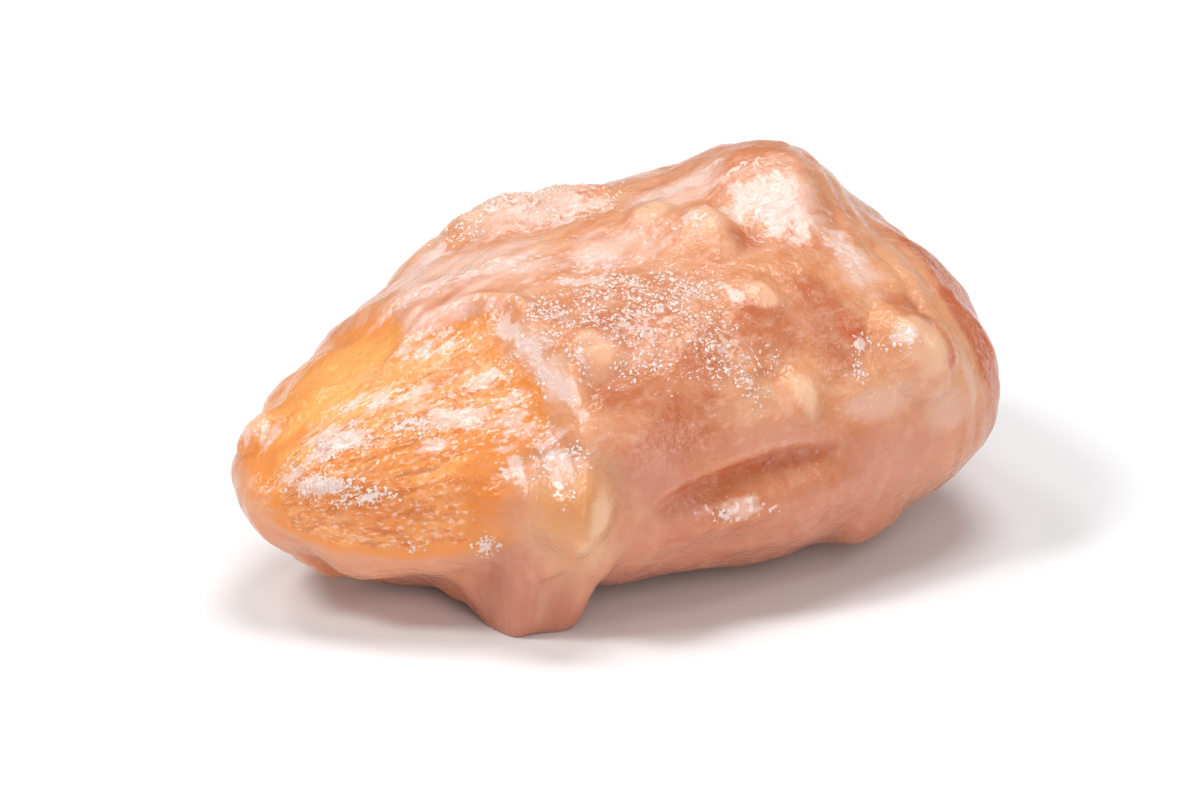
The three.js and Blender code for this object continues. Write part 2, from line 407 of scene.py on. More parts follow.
def lattice_value(cell, seed):
    """A fixed number from -1 to 1 for each cell of a cubic lattice: the bits of its three counts, mixed."""
    mixed = np.bitwise_xor.reduce(cell * CELL_MIX, axis=-1) ^ seed * SEED_MIX
    for shift, factor in BIT_MIXES:
        mixed = (mixed ^ (mixed >> shift)) * factor & LOW_BITS
    return (mixed ^ (mixed >> LAST_SHIFT)) / HALF_RANGE - 1


def noise(points, size, seed):
    """Smooth noise of about -1 to 1: lattice values one size apart, blended between the eight corners of
    each cell by the cubic of the smooth step."""
    cell = np.floor(points / size).astype(np.int64)
    t = points / size - cell
    t = t * t * (3 - 2 * t)
    total = 0
    for corner in np.ndindex(2, 2, 2):
        weight = np.prod(np.where(corner, t, 1 - t), axis=-1)
        total = total + weight * lattice_value(cell + np.array(corner), seed)
    return total


def reach(skin, place):
    """Distance from a place as a share of its radius, made uneven by the swell."""
    ragged = 1 + RAGGEDNESS * swell(skin, RAGGED_LENGTH)
    return np.linalg.norm(skin - skin_place(place), axis=-1) / place[2] * ragged


def dome(skin, place):
    """1 over a place, falling smoothly to 0 at its radius."""
    return 1 - smoothstep(reach(skin, place), LUMP_CROWN, 1)


def knob(skin, place):
    """A rounder dome with steeper sides: part half-sunk ball, which is a power of one minus the squared
    distance, and part dome."""
    ball = np.clip(1 - (reach(skin, place) / KNOB_REACH) ** 2, 0, 1) ** KNOB_POWER
    return KNOB_BALL * ball + (1 - KNOB_BALL) * dome(skin, place)


def most(skin, places):
    """The highest of the domes over several places."""
    return np.max([dome(skin, place) for place in places], axis=0)


def patch(along, around, place):
    """1 inside an ellipse that lies on the skin, falling smoothly to 0 at its rim. Lengths are measured
    along the kernel and round its girth there."""
    middle, turn, half_length, half_width, tilt = place
    turn, tilt = math.radians(turn), math.radians(tilt)
    per_radian = 0.5 * taper(middle) * math.hypot(KERNEL[1] * math.cos(turn), KERNEL[2] * math.sin(turn))
    lengthwise = 0.5 * KERNEL[0] * (along - middle)
    crosswise = per_radian * ((around - turn + np.pi) % (2 * np.pi) - np.pi)
    a = (lengthwise * math.cos(tilt) + crosswise * math.sin(tilt)) / half_length
    b = (crosswise * math.cos(tilt) - lengthwise * math.sin(tilt)) / half_width
    return 1 - smoothstep(np.hypot(a, b), PATCH_CORE, PATCH_RIM)


def patches(along, around, places):
    """The highest of several patches."""
    return np.max([patch(along, around, place) for place in places], axis=0)


def patch_border(skin):
    """Distance outside the nearest bare patch's border, negative inside it."""
    return np.min([place[2] * (reach(skin, place) - 1) for place in BARE_PATCHES], axis=0)


def bareness(skin):
    """1 where only thin glaze covers the skin, with a smooth step across the patch's border."""
    return 1 - smoothstep(patch_border(skin), *COAT_END)


def lip_show(along, around):
    """How much of the coat's rim stands out: all on the near side, little behind the top and none at the
    tip."""
    near = LIP_BEHIND + (1 - LIP_BEHIND) * smoothstep(np.degrees(around), *LIP_FADE)
    return near * smoothstep(along, *LIP_TIP)


def fold_relief(along, around):
    """Groove and lip: two bell curves across the fold, the groove's sharper above, faded by a parabola along
    it and bowed by another."""
    lengthwise = (along - FOLD_ALONG) / FOLD_HALF_LENGTH
    across = np.degrees(around) - FOLD_AROUND + FOLD_TILT * lengthwise - FOLD_BOW * lengthwise ** 2
    widths = np.radians(across) * 0.5 * KERNEL[1] / FOLD_WIDTH
    groove = -FOLD_DEPTH * np.exp(-np.where(widths < 0, widths / FOLD_SHARPNESS, widths) ** 2)
    lip = FOLD_LIP_RISE * np.exp(-((widths - FOLD_LIP_PLACE) / FOLD_LIP_WIDTH) ** 2)
    return np.maximum(0, 1 - lengthwise ** 2) * (groove + lip)


def edge_bead(along, around):
    """A bell curve across the near edge, fading out at the tip's end and towards the drip."""
    bell = np.exp(-((np.degrees(around) - EDGE_BEAD_AROUND) / EDGE_BEAD_WIDTH) ** 2)
    fade = 1 - smoothstep(along, *EDGE_BEAD_END)
    return EDGE_BEAD_RISE * bell * smoothstep(along, *EDGE_BEAD_START) * fade


def coat_height(skin, along, around):
    """Toffee over the skin: glaze or full coat, its rim, the swell, the lumps and the fold."""
    border = patch_border(skin)
    bare = 1 - smoothstep(border, *COAT_END)
    height = THIN_GLAZE + (FULL_COAT - THIN_GLAZE) * (1 - bare)
    height = height + LIP_RISE * lip_show(along, around) * np.exp(-((border - LIP_PLACE) / LIP_WIDTH) ** 2)
    height = height + SWELL_RISE * swell(skin, SWELL_LENGTH) * (1 - BARE_CALM * bare)
    for lump in SUGAR_LUMPS:
        height = height + lump[3] * knob(skin, lump)
    for lump in TOFFEE_LUMPS:
        height = height + lump[3] * dome(skin, lump)
    return height + fold_relief(along, around) + edge_bead(along, around)


def fine_relief(skin, along, around):
    """Skin grooves along the length, ripples in the coat, beads of glaze, and grains of sugar."""
    bare = bareness(skin)
    wander = 0
    for seed, (stray, length) in enumerate(GROOVE_WANDERS, WANDER_SEED):
        wander = wander + stray * noise(skin, length, seed)
    strength = (0.5 + 0.5 * noise(skin, GROOVE_BREAKS, BREAK_SEED)) * smoothstep(along, *GROOVE_TIP)
    strength = strength * smoothstep(np.degrees(around), *GROOVE_FADE)
    groove = np.sin(SKIN_GROOVES * around + wander) * strength
    calm = 1 - most(skin, SUGAR_LUMPS + [NUGGET_PLACE + (NUGGET_RADIUS,)])
    relief = -GROOVE_DEPTH * groove * calm * (GROOVE_SHOW + (1 - GROOVE_SHOW) * bare)
    ridge = np.sin(np.pi * KERNEL[0] * along / END_RIDGE_LENGTH + END_RIDGE_WANDER * wander)
    ridge = ridge * smoothstep(along, *END_RIDGE_FADE)
    relief = relief + END_RIDGE_RISE * ridge
    rise, place, width = LIP_BEAD
    relief = relief + rise * lip_show(along, around) * np.exp(-((patch_border(skin) - place) / width) ** 2)
    smooth = 1 - POOL_CALM * patches(along, around, POOLED)
    for seed, (rise, size) in enumerate(RIPPLES, RIPPLE_SEED):
        relief = relief + rise * smooth * noise(skin, size, seed)
    rise, size = DROPLETS
    sparkle = patches(along, around, SPARKLING)
    relief = relief + rise * sparkle * smoothstep(noise(skin, size, DROPLET_SEED), *DROPLET_EDGE)
    rise, size = FROST_GRAIN
    frost = patches(along, around, FROSTED)
    relief = relief + rise * frost * smoothstep(noise(skin, size, FROST_SEED), *FROST_EDGE)
    rise, size = LUMP_GRAIN
    return relief + rise * most(skin, SUGAR_LUMPS) * noise(skin, size, LUMP_SEED)


def drip_pull(skin):
    """1 on the end of the drip, falling smoothly to 0 where it leaves the coat, faster above than below."""
    away = skin - skin_place((DRIP_ALONG, DRIP_AROUND))
    away[..., 0] /= np.where(away[..., 0] < 0, DRIP_TIPWARDS, DRIP_ENDWARDS)
    away[..., 2] *= np.where(away[..., 2] > 0, DRIP_SHOULDER, 1)
    return 1 - smoothstep(np.linalg.norm(away, axis=-1) / DRIP_RADIUS, DRIP_PLATEAU, 1)


def lie_turn():
    """Matrix of the roll about X, then the pitch about Y."""
    r, p = np.radians(ROLL), np.radians(PITCH)
    roll = np.array([[1, 0, 0], [0, np.cos(r), -np.sin(r)], [0, np.sin(r), np.cos(r)]])
    pitch = np.array([[np.cos(p), 0, np.sin(p)], [0, 1, 0], [-np.sin(p), 0, np.cos(p)]])
    return pitch @ roll


def skin_of(directions):
    """Along, around and the point of the skin for unit directions: their x part is along, and the angle of
    the other two parts is around."""
    along = np.clip(directions[..., 0], -1, 1)
    around = np.arctan2(-directions[..., 1], directions[..., 2])
    return along, around, skin_point(along, around)


def place_direction(place):
    """The unit direction that the surface takes to a place."""
    ring, around = math.sqrt(1 - place[0] ** 2), math.radians(place[1])
    return np.array([[place[0], -ring * math.sin(around), ring * math.cos(around)]])


def outward(skin):
    """Unit vectors square to the ellipsoid with the kernel's three sizes."""
    out = skin / KERNEL ** 2
    return out / np.linalg.norm(out, axis=-1, keepdims=True)


def coated(along, around, skin):
    """Skin raised by the coat along the ellipsoid's normal."""
    return skin + outward(skin) * coat_height(skin, along, around)[..., None]


def nugget_rise(points):
    """How far the large lump lifts points of the coat along its own way out: the height of a ball over them,
    by a smooth maximum, faded at the ball's edge."""
    way = outward(skin_place(NUGGET_PLACE))
    middle = coated(*skin_of(place_direction(NUGGET_PLACE)))[0] + (NUGGET_STAND - NUGGET_RADIUS) * way
    away = points - middle
    along_way = away @ way
    aside = np.linalg.norm(away - along_way[..., None] * way, axis=-1)
    height = np.sqrt(np.maximum(0, NUGGET_RADIUS ** 2 - aside ** 2)) - along_way
    lift = 0.5 * (height + np.sqrt(height ** 2 + NUGGET_BLEND ** 2))
    start, full = (NUGGET_RADIUS * place for place in NUGGET_FRONT)
    in_front = smoothstep(along_way, start, full)
    return lift * in_front * (1 - smoothstep(aside / NUGGET_RADIUS, *NUGGET_FADE))


def plain_surface(along, around, skin):
    """The coat with the large lump on it, arched, rolled and pitched about the kernel's centre."""
    raised = coated(along, around, skin)
    raised = raised + nugget_rise(raised)[..., None] * outward(skin_place(NUGGET_PLACE))
    return (raised + ARCH * (along ** 2)[..., None]) @ lie_turn().T


def toffee_surface(directions, fine=True):
    """Surface for directions on the unit sphere: the plain surface, drawn towards a plane at each flat, with
    fine relief, the drip pulled down, and all of it stopped softly by the floor."""
    along, around, skin = skin_of(directions)
    point = plain_surface(along, around, skin)
    for place, facing in FLATS:
        middle = plain_surface(*skin_of(place_direction(place)))
        facing = np.array(facing) / np.linalg.norm(facing)
        level = FLATNESS * (1 - smoothstep(reach(skin, place), FLAT_CORE, 1))
        point = point - (level * ((point - middle) @ facing))[..., None] * facing
    if fine:
        point = point + outward(skin) @ lie_turn().T * fine_relief(skin, along, around)[..., None]
    pull = drip_pull(skin)
    point[..., 1] += DRIP_SET_BACK * pull
    height = point[..., 2] + CENTRE_HEIGHT - DRIP_FALL * pull
    rounded = 0.5 * (height + np.sqrt(height ** 2 + FOOT_ROUNDING ** 2)) - FOOT_SINK * FOOT_ROUNDING
    point[..., 2] = np.maximum(0, rounded)
    return point


def cube_ball(steps):
    """A ball from the six sides of a cube: each side a grid of tangents of even angles, shared edges joined.
    Returns directions, squares of four corners each, and a place in a flat sheet for every corner."""
    i, j = np.meshgrid(np.arange(steps + 1), np.arange(steps + 1), indexing="ij")
    low, high = np.zeros_like(i), np.full_like(i, steps)
    sides = [(high, i, j), (low, j, i), (j, high, i), (i, low, j), (i, j, high), (j, i, low)]
    lattice = np.stack([np.stack(side, axis=-1) for side in sides]).reshape(-1, 3)
    codes = lattice @ np.array([1, steps + 1, (steps + 1) ** 2])
    _, first, joined = np.unique(codes, return_index=True, return_inverse=True)
    directions = np.tan((lattice[first] / steps - 0.5) * np.pi / 2)
    directions = directions / np.linalg.norm(directions, axis=-1, keepdims=True)
    numbers = np.arange(len(lattice)).reshape(len(sides), steps + 1, steps + 1)
    corners = [numbers[:, :-1, :-1], numbers[:, 1:, :-1], numbers[:, 1:, 1:], numbers[:, :-1, 1:]]
    squares = np.stack(corners, axis=-1).reshape(-1, 4)
    side = np.arange(len(sides))[:, None, None]
    inner = 1 - 2 * SHEET_MARGIN
    sheet_u = (side % SHEET_COLUMNS + SHEET_MARGIN + inner * i / steps) / SHEET_COLUMNS
    sheet_v = (side // SHEET_COLUMNS + SHEET_MARGIN + inner * j / steps) / SHEET_ROWS
    sheet = np.stack([sheet_u, sheet_v], axis=-1).reshape(-1, 2)
    return directions, joined.reshape(-1)[squares], sheet[squares]


def make_mesh(name, points, faces, smooth):
    """A mesh object at the origin from arrays of points in millimetres and of faces."""
    mesh = bpy.data.meshes.new(name)
    mesh.from_pydata((points * MM).tolist(), [], faces.tolist())
    mesh.polygons.foreach_set("use_smooth", np.full(len(faces), smooth))
    mesh.update()
    piece = bpy.data.objects.new(name, mesh)
    bpy.context.collection.objects.link(piece)
    return piece


def add_layer(piece, name, kind, field, values):
    """A named number or vector for every point of a mesh."""
    layer = piece.data.attributes.new(name, kind, "POINT")
    layer.data.foreach_set(field, values.reshape(-1).astype(np.float32))


def centre_shift():
    """What moves the plain form onto the middle of the solid's box."""
    directions, _, _ = cube_ball(SHIFT_STEPS)
    plain = toffee_surface(directions, fine=False)
    low, high = (np.array(corner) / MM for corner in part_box(NODE))
    shift = 0.5 * (low + high) - 0.5 * (plain.min(axis=0) + plain.max(axis=0))
    shift[2] = 0
    return shift


def coat_masks(along, around, skin):
    """By name, from 0 to 1, how much each kind of toffee or skin lies at points of the coat, and where light
    and shade are painted.
    """
    masks = {name: patches(along, around, places) for name, places in PATCH_MASKS.items()}
    drip = smoothstep(drip_pull(skin), *DRIP_EDGE)
    ragged = np.degrees(around) + BORDER_STRAY * noise(skin, BORDER_SIZE, BORDER_SEED)
    shaded_near_edge = band(ragged, *SHADED_NEAR_EDGE)
    rim = np.maximum(band(ragged, *RIM_BAND), RIM_TIP_SHARE * smoothstep(-along, *RIM_TIP))
    round_nugget = dome(skin, NUGGET_PLACE + (NUGGET_SURROUND,))
    bare = bareness(skin) * (1 - drip) * (1 - rim) * (1 - round_nugget)
    masks["sparkle"] = masks["sparkle"] * (1 - drip)
    masks["peachy"] = masks["peachy"] * (1 - drip)
    masks["deep_skin"] = masks["deep_skin"] * (1 - rim)
    masks["drip"] = np.maximum(drip, masks["drip"])
    masks["bare"] = bare
    masks["wrinkled"] = bare * smoothstep(ragged, *GROOVE_FADE)
    masks["amber"] = dome(skin, NUGGET_PLACE + (NUGGET_AMBER,))
    masks["cream"] = most(skin, SUGAR_LUMPS)
    masks["shaded_near_edge"] = shaded_near_edge
    masks["low_edge_toffee_and_shade"] = band(ragged, *LOW_EDGE_TOFFEE_AND_SHADE) * (1 - drip)
    # the rest of the girth: the upper side, which one colour layer paints lighter as painted light
    masks["upper"] = 1 - shaded_near_edge
    masks["fold"] = np.clip(-fold_relief(along, around) / FOLD_DEPTH, 0, 1)
    masks["round_end"] = smoothstep(along, *ROUND_END)
    masks["end_edge"] = smoothstep(along, *END_EDGE)
    return masks


def toffee_coat(shift):
    """The almond's whole surface, with masks and a flow for its material and a map of its six sides. The
    flow is the skin with its girth evened out towards the tip, so that streaks draw together there."""
    directions, squares, sheet = cube_ball(SURFACE_STEPS)
    piece = make_mesh("toffee_coat", toffee_surface(directions) + shift, squares, True)
    along, around, skin = skin_of(directions)
    for name, values in coat_masks(along, around, skin).items():
        add_layer(piece, name, "FLOAT", "value", values)
    girth = np.where(along < 0, np.maximum(taper(along) / taper(0), LEAST_GIRTH), 1) ** FLOW_POWER
    flow = skin / np.stack([np.ones_like(along), girth, girth], axis=-1)
    add_layer(piece, "flow", "FLOAT_VECTOR", "vector", flow)
    layer = piece.data.uv_layers.new(name="OFBake")
    layer.uv.foreach_set("vector", sheet.reshape(-1).astype(np.float32))
    return piece


# Grains of sugar

GRAIN_TRIES = 200000
GRAIN_SIZES = (0.1, 0.28)  # width of the smallest and of the largest
GRAIN_FINENESS = 2  # above 1 there are more small grains than large
GRAIN_SPREAD = (0.7, 1.3)  # least and most that a grain measures each way, in widths
GRAIN_SINK = 0.27  # how deep a grain's middle lies in the coat, as a share of its width
GRAIN_SHARE = 0.72  # of the tries kept where the frost is thickest
SPARKLE_SHARE = 0.75  # strength of the frost where single spots sparkle
CLUMP_SIZE = 0.6  # of the clumps that they lie in
CLUMP_EDGE = (-0.6, 0.4)  # values of the noise between which a clump starts
FROSTED_LUMPS = [(-0.23, 33, 1.2)]
LUMP_CLEAR = 0.9  # share of the grains that the small lump among the frost is free of
FLOOR_CLEAR = 1  # height below which there are none
GRAIN_CORNERS = 4  # round the middle of a grain


def grain_form():
    """A double pyramid: a ring of corners at even angles, with a point below it and a point above it."""
    corner = np.arange(GRAIN_CORNERS)
    angle = 2 * np.pi * corner / GRAIN_CORNERS
    ring = np.stack([np.cos(angle), np.sin(angle), np.zeros(GRAIN_CORNERS)], axis=-1)
    points = np.concatenate([ring, [[0, 0, -1], [0, 0, 1]]])
    after = (corner + 1) % GRAIN_CORNERS
    below = np.full(GRAIN_CORNERS, GRAIN_CORNERS)
    foot = np.stack([after, corner, below], axis=-1)
    cap = np.stack([corner, after, below + 1], axis=-1)
    return points, np.concatenate([foot, cap])


def random_turns(chance, count):
    """Turn matrices from random unit quaternions."""
    q = chance.normal(size=(count, 4))
    w, x, y, z = (q / np.linalg.norm(q, axis=1, keepdims=True)).T
    rows = [
        [1 - 2 * (y * y + z * z), 2 * (x * y - z * w), 2 * (x * z + y * w)],
        [2 * (x * y + z * w), 1 - 2 * (x * x + z * z), 2 * (y * z - x * w)],
        [2 * (x * z - y * w), 2 * (y * z + x * w), 1 - 2 * (x * x + y * y)],
    ]
    return np.moveaxis(np.array(rows), -1, 0)


def sugar_grains(shift):
    """Grains scattered where the coat is frosted: seeded directions, kept by the frost's strength, each
    grain more than half sunk in the coat."""
    chance = np.random.default_rng(SCATTER_SEED)
    directions = chance.normal(size=(GRAIN_TRIES, 3))
    directions = directions / np.linalg.norm(directions, axis=1, keepdims=True)
    along, around, skin = skin_of(directions)
    frost = np.maximum(patches(along, around, FROSTED), SPARKLE_SHARE * patches(along, around, SPARKLING))
    frost = frost * smoothstep(noise(skin, CLUMP_SIZE, CLUMP_SEED), *CLUMP_EDGE)
    frost = frost * (1 - LUMP_CLEAR * most(skin, FROSTED_LUMPS))
    directions = directions[chance.random(GRAIN_TRIES) < GRAIN_SHARE * frost]
    seat = toffee_surface(directions)
    clear = seat[:, 2] > FLOOR_CLEAR
    directions = directions[clear]
    seat = seat[clear]
    count = len(seat)
    form, faces = grain_form()
    small, large = GRAIN_SIZES
    width = small + (large - small) * chance.random((count, 1)) ** GRAIN_FINENESS
    sizes = width * chance.uniform(*GRAIN_SPREAD, size=(count, 3)) / 2
    _, _, skin = skin_of(directions)
    out = outward(skin) @ lie_turn().T
    points = np.einsum("nij,nkj->nki", random_turns(chance, count), form[None] * sizes[:, None])
    points = points + (seat + shift - GRAIN_SINK * width * out)[:, None]
    numbered = faces[None] + (np.arange(count) * len(form))[:, None, None]
    return make_mesh("sugar_grains", points.reshape(-1, 3), numbered.reshape(-1, 3), True)


# Materials


def linear(colour):
    """A linear colour from an sRGB hex value, by the standard curve."""
    parts = [int(colour[k:k + 2], 16) / 255 for k in (1, 3, 5)]
    return [p / 12.92 if p <= 0.04045 else ((p + 0.055) / 1.055) ** 2.4 for p in parts] + [1]


def add(tree, kind, inputs=(), **settings):
    """One node with its settings, and its inputs as plain values or as other nodes' outputs."""
    made = tree.nodes.new(kind)
    for name, value in settings.items():
        setattr(made, name, value)
    for key, value in dict(inputs).items():
        if isinstance(value, bpy.types.NodeSocket):
            tree.links.new(value, made.inputs[key])
        else:
            made.inputs[key].default_value = value
    return made


def per_mm(size):
    """A texture's scale for features of a size in millimetres, in a scene of metres."""
    return 1 / (size * MM)


def new_material(name):
    """An empty material, and its tree of nodes."""
    made = bpy.data.materials.new(name)
    made.use_nodes = True
    made.node_tree.nodes.clear()
    return made, made.node_tree


# Colour layers of the coat, from below upwards. Each covers what lies under it where its mask and a noise
# come to more than two values together, from none at the first to its full share at the second: (mask, size
# of the noise in mm, its stretch along and across, octaves, weight of the noise, first and second value,
# share, colour).
COAT_COLOUR = "#cd784d"
COAT_LAYERS = [
    (None, 5.0, (1, 1), 3, 1, 0.35, 0.65, 1.0, "#e09768"),  # clouds in the boiled sugar
    ("upper", 3.0, (2, 1), 3, 1, 1.2, 1.7, 0.5, "#eca97a"),  # painted light: the upper side peach and paler, as where light falls on it and through the toffee
    ("upper", 0.7, (3, 1), 5, 1, 1.42, 1.75, 0.5, "#f0bf9f"),  # graining drawn out along the length
    ("round_end", 0.8, (1, 5), 4, 1, 1.45, 1.7, 0.4, "#f0bf9c"),  # and round the blunt end
    ("pooled", 1.5, (1, 1), 3, 1.5, 1.1, 1.9, 0.9, "#c46c42"),
    # painted shade: pinkish mauve of the lower side in shade
    ("shaded_near_edge", 2.0, (2, 1), 3, 1, 0.8, 1.5, 0.6, "#da977f"),
    ("rosy", 1.6, (3, 1), 3, 1.5, 1.0, 2.0, 0.6, "#dc9884"),
    ("drip", 1.6, (1, 3), 3, 1, 0.8, 1.5, 0.65, "#c17961"),
    ("end_edge", 1.2, (1, 4), 3, 1, 0.7, 1.5, 0.8, "#cf7040"),
    ("deep_toffee", 0.9, (1, 3), 3, 1, 0.8, 1.4, 0.75, "#ca5822"),
    ("blush", 0.7, (2.5, 1), 4, 1, 0.8, 1.5, 0.6, "#efc3b3"),
    # dark line under the near edge: thick toffee and painted shade
    ("low_edge_toffee_and_shade", 0.8, (4, 1), 3, 1, 0.8, 1.5, 0.35, "#bf6743"),
    ("peachy", 1.2, (3, 1), 3, 1, 0.7, 1.5, 0.65, "#eaa67d"),  # the rim under the bare tip
    # painted shade in the fold's groove
    ("fold", 0.6, (4, 1), 2, 1, 0.6, 1.4, 0.8, "#c85c30"),
    # milky toffee, partly painted highlights
    ("milky_and_highlight", 0.8, (2.5, 1), 6, 1.3, 1.2, 1.85, 0.85, "#f9d4c6"),
    (None, 0.6, (1, 1), 4, 1, 0.4, 0.75, 0.25, "#ecb899"),  # mottling
    ("upper", 0.24, (2.5, 1), 3, 1, 1.5, 1.8, 0.4, "#f5c9b1"),  # flecks of grained sugar
    ("bare", 0.9, (2.5, 1), 3, 1, 0.75, 1.2, 1.0, "#ee964d"),  # the skin under thin glaze
    ("bare", 1.1, (6, 1), 3, 1, 1.42, 1.65, 0.7, "#fab66e"),  # its paler stripes
    # painted light on the bare skin of the upper left
    ("lit_skin", 0.9, (4, 1), 3, 1, 0.9, 1.6, 0.7, "#ffb868"),
    ("deep_skin", 0.9, (5, 1), 3, 1, 0.9, 1.6, 0.35, "#d9742f"),
    ("wrinkled", 0.34, (8, 1), 4, 1, 1.46, 1.72, 0.6, "#c45e1e"),  # its dark wrinkles
    ("wrinkled", 0.22, (1.5, 1), 4, 1, 1.52, 1.64, 0.5, "#cf6424"),  # pits in the glaze over it
    ("wrinkled", 0.15, (1.4, 1), 3, 1, 1.52, 1.66, 0.6, "#fcd2b6"),  # and pale grains, partly painted glints
    ("amber", 0.9, (1, 1), 2, 1, 0.5, 1.1, 0.7, "#e2ab84"),
    ("amber", 0.9, (1, 1), 2, 1, 1.0, 1.6, 0.75, "#dd9a5e"),
    ("cream", 0.8, (1, 1), 3, 1, 0.9, 1.4, 0.75, "#f7c4a2"),
    ("painted_glow", 0.6, (1, 1), 2, 1, 0.6, 1.6, 0.7, "#f8cba6"),  # painted glow in the lumps' lower sides
    # clouded glaze, partly painted highlights
    ("glaze", 0.5, (2.2, 1), 6, 3, 2.2, 2.75, 0.72, "#f8d2c5"),
    ("glaze", 0.17, (1.4, 1), 3, 3, 2.5, 2.75, 0.6, "#fdebe3"),  # and painted glints in it
    # painted highlights and glints
    ("painted_glints", 0.4, (1, 1.6), 5, 2, 1.5, 1.85, 0.78, "#f4d6ca"),
    ("frost", 0.34, (1, 1), 3, 1, 1.36, 1.6, 0.55, "#cf7442"),  # gaps between the grains
    ("frost", 0.24, (1, 1), 2, 1, 1.44, 1.56, 0.5, "#f9dccd"),
    # painted glints on the beads of glaze
    ("sparkle", 0.2, (1.6, 1), 2, 1.5, 1.68, 1.8, 0.8, "#fdeee6"),
]

# Gloss of the coat
CLOUD_SIZE = 1.3  # of clouds in the glaze
CLOUD_VALUES = (0.3, 0.7)  # values of the noise from the clear glaze to the clouds
CLEAR_ROUGHNESS, CLOUDED_ROUGHNESS = 0.08, 0.22
FROST_ROUGHNESS = 0.22  # added where the coat is frosted
PIT_SIZE, PIT_DEPTH, PIT_STRENGTH = 0.22, 0.08, 0.8  # fine unevenness that breaks up the highlights
GLOSS_OCTAVES = 3
TOFFEE_IOR = 1.5

# Light under the coat's surface
INNER_LIGHT = 0.5  # share of the light that spreads there
LIGHT_SPREAD = 0.9  # how far red light spreads
SPREAD_PARTS = (1.0, 0.48, 0.25)  # how far red, green and blue spread, as shares of that

# Sugar grains: two tones that pass into each other over a size
GRAIN_TONES, TONE_SIZE, TONE_OCTAVES = ("#f3cfbf", "#fce9e1"), 0.9, 2
GRAIN_ROUGHNESS, SUGAR_IOR = 0.2, 1.55

TABLE_COLOUR, TABLE_ROUGHNESS = "#f5f7f9", 0.9


def set_toffee():
    """Boiled sugar toffee set over the kernel's brown skin: glassy, clouded where it has grained, orange
    where the thin glaze lets the skin show, and pale where undissolved sugar sits in it. Some colour layers
    are painted light: highlights, glints and glow, and shade on the lower side and in the fold."""
    made, tree = new_material("set_toffee_over_almond_skin")
    flow = add(tree, "ShaderNodeAttribute", attribute_name="flow").outputs["Vector"]
    tone = linear(COAT_COLOUR)
    for mask, size, stretch, octaves, weight, low, high, share, colour in COAT_LAYERS:
        scale = (1 / (size * stretch[0]), 1 / (size * stretch[1]), 1 / (size * stretch[1]))
        drawn = add(tree, "ShaderNodeMapping", {"Vector": flow, "Scale": scale}).outputs["Vector"]
        inputs = {"Vector": drawn, "Scale": 1, "Detail": octaves}
        cover = add(tree, "ShaderNodeTexNoise", inputs).outputs["Fac"]
        if mask:
            spread = add(tree, "ShaderNodeAttribute", attribute_name=mask).outputs["Fac"]
            inputs = {0: cover, 1: weight, 2: spread}
            cover = add(tree, "ShaderNodeMath", inputs, operation="MULTIPLY_ADD").outputs[0]
        inputs = {"Value": cover, "From Min": low, "From Max": high, "To Max": share}
        factor = add(tree, "ShaderNodeMapRange", inputs, interpolation_type="SMOOTHSTEP").outputs["Result"]
        inputs = {"Factor": factor, "A": tone, "B": linear(colour)}
        tone = add(tree, "ShaderNodeMix", inputs, data_type="RGBA").outputs["Result"]

    place = add(tree, "ShaderNodeTexCoord").outputs["Object"]
    inputs = {"Vector": place, "Scale": per_mm(CLOUD_SIZE), "Detail": GLOSS_OCTAVES}
    cloud = add(tree, "ShaderNodeTexNoise", inputs).outputs["Fac"]
    inputs = {
        "Value": cloud,
        "From Min": CLOUD_VALUES[0],
        "From Max": CLOUD_VALUES[1],
        "To Min": CLEAR_ROUGHNESS,
        "To Max": CLOUDED_ROUGHNESS,
    }
    gloss = add(tree, "ShaderNodeMapRange", inputs).outputs["Result"]
    frost = add(tree, "ShaderNodeAttribute", attribute_name="frost").outputs["Fac"]
    inputs = {0: frost, 1: FROST_ROUGHNESS, 2: gloss}
    roughness = add(tree, "ShaderNodeMath", inputs, operation="MULTIPLY_ADD").outputs[0]
    inputs = {"Vector": place, "Scale": per_mm(PIT_SIZE), "Detail": GLOSS_OCTAVES}
    pits = add(tree, "ShaderNodeTexNoise", inputs).outputs["Fac"]
    inputs = {"Height": pits, "Strength": PIT_STRENGTH, "Distance": PIT_DEPTH * MM}
    bump = add(tree, "ShaderNodeBump", inputs)
    shader = add(tree, "ShaderNodeBsdfPrincipled", {
        "Base Color": tone,
        "Roughness": roughness,
        "Normal": bump.outputs["Normal"],
        "IOR": TOFFEE_IOR,
        "Subsurface Weight": INNER_LIGHT,
        "Subsurface Radius": SPREAD_PARTS,
        "Subsurface Scale": LIGHT_SPREAD * MM,
    })
    add(tree, "ShaderNodeOutputMaterial", {"Surface": shader.outputs["BSDF"]})
    return made


def sugar_crystal():
    """Grains of white sugar under a film of toffee: pale pink, with bright glints."""
    made, tree = new_material("sugar_crystal")
    place = add(tree, "ShaderNodeTexCoord").outputs["Object"]
    inputs = {"Vector": place, "Scale": per_mm(TONE_SIZE), "Detail": TONE_OCTAVES}
    tone = add(tree, "ShaderNodeTexNoise", inputs).outputs["Fac"]
    inputs = {"Factor": tone, "A": linear(GRAIN_TONES[0]), "B": linear(GRAIN_TONES[1])}
    colour = add(tree, "ShaderNodeMix", inputs, data_type="RGBA").outputs["Result"]
    shader = add(tree, "ShaderNodeBsdfPrincipled", {
        "Base Color": colour,
        "Roughness": GRAIN_ROUGHNESS,
        "IOR": SUGAR_IOR,
    })
    add(tree, "ShaderNodeOutputMaterial", {"Surface": shader.outputs["BSDF"]})
    return made


